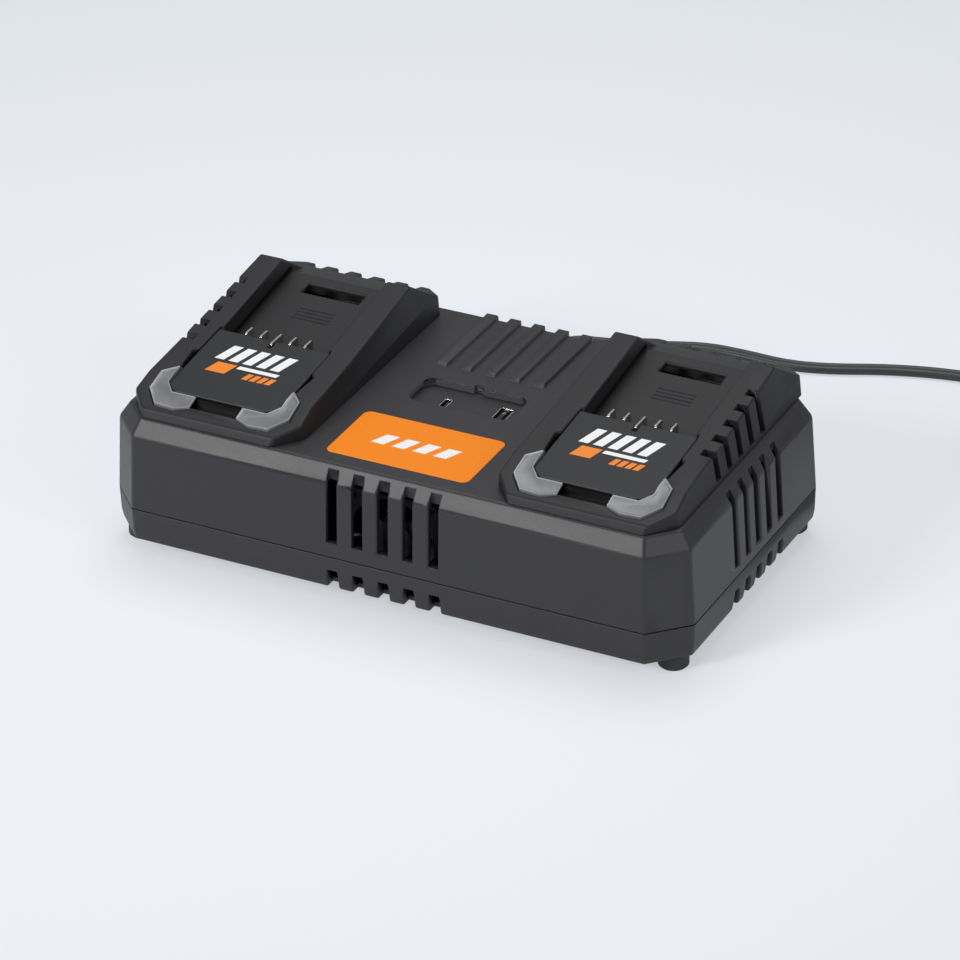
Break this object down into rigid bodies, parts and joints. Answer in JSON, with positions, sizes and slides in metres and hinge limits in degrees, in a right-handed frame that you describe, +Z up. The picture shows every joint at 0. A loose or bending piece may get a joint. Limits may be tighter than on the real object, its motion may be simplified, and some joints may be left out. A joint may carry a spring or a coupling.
{
  "type": "power tool battery charger",
  "caption": "Two-bay slide-on battery charger with sloping docks, contact blades, status lenses, charging sockets, vented housing, cooling fan and coiled mains lead.",
  "frame": {"origin": "centre of the housing's footprint at the level of the underside of the feet", "axes": "+X to the right along the housing's length, +Y to the rear where the lead leaves, +Z up"},
  "size_m": [0.3805, 0.2647, 0.0761],
  "materials": {
    "housing": "fine moulded texture",
    "base": "fine moulded texture",
    "nose_plate": "satin",
    "lens": "frosted translucent",
    "rubber": "matte",
    "label": "satin printed film",
    "screw_steel": "zinc plated",
    "insulator": "moulded",
    "contact_metal": "nickel plated",
    "circuit_board": "solder mask",
    "lamp": "clear",
    "capacitor": "sleeved",
    "ferrite": "pressed",
    "winding_tape": "tape",
    "heat_sink": "extruded",
    "lead_sheath": "satin sheath"
  },
  "bodies": {
    "charger": {"board_screws": "screw_steel", "bottom_housing": "base", "bridge_rectifier": "insulator", "bulk_capacitors": "capacitor", "coil_tie": "rubber", "deck_label": "label", "dock_screws": "screw_steel", "fan_frame": "insulator", "housing_screws": "screw_steel", "lead_coil": "lead_sheath", "left_battery_dock": "housing", "left_dock_lens_left": "lens", "left_dock_lens_right": "lens", "left_heat_sink": "heat_sink", "left_lamp_board": "circuit_board", "left_lamps": "lamp", "left_nose_plate": "nose_plate", "left_power_transistors": "insulator", "left_terminal_blades": "contact_metal", "left_terminal_block": "insulator", "line_choke": "ferrite", "line_fuse": "contact_metal", "main_board": "circuit_board", "mains_lead": "lead_sheath", "mains_plug": "lead_sheath", "output_capacitors": "capacitor", "plug_pins": "contact_metal", "right_battery_dock": "housing", "right_dock_lens_left": "lens", "right_dock_lens_right": "lens", "right_heat_sink": "heat_sink", "right_lamp_board": "circuit_board", "right_lamps": "lamp", "right_nose_plate": "nose_plate", "right_power_transistors": "insulator", "right_terminal_blades": "contact_metal", "right_terminal_block": "insulator", "rubber_feet": "rubber", "strain_relief": "rubber", "top_housing": "housing", "transformer_core": "ferrite", "transformer_winding": "winding_tape", "usb_a_shell": "contact_metal", "usb_a_tongue": "insulator", "usb_board": "circuit_board", "usb_board_screws": "screw_steel", "usb_c_shell": "contact_metal", "usb_c_tongue": "insulator"},
    "fan": {"fan_rotor": "insulator"}
  },
  "joints": [
    {"name": "fan_spin", "type": "hinge", "parent": "charger", "child": "fan", "pos_m": [0, -0.055, 0.0274], "axis": [0, 1, 0], "continuous": true}
  ]
}
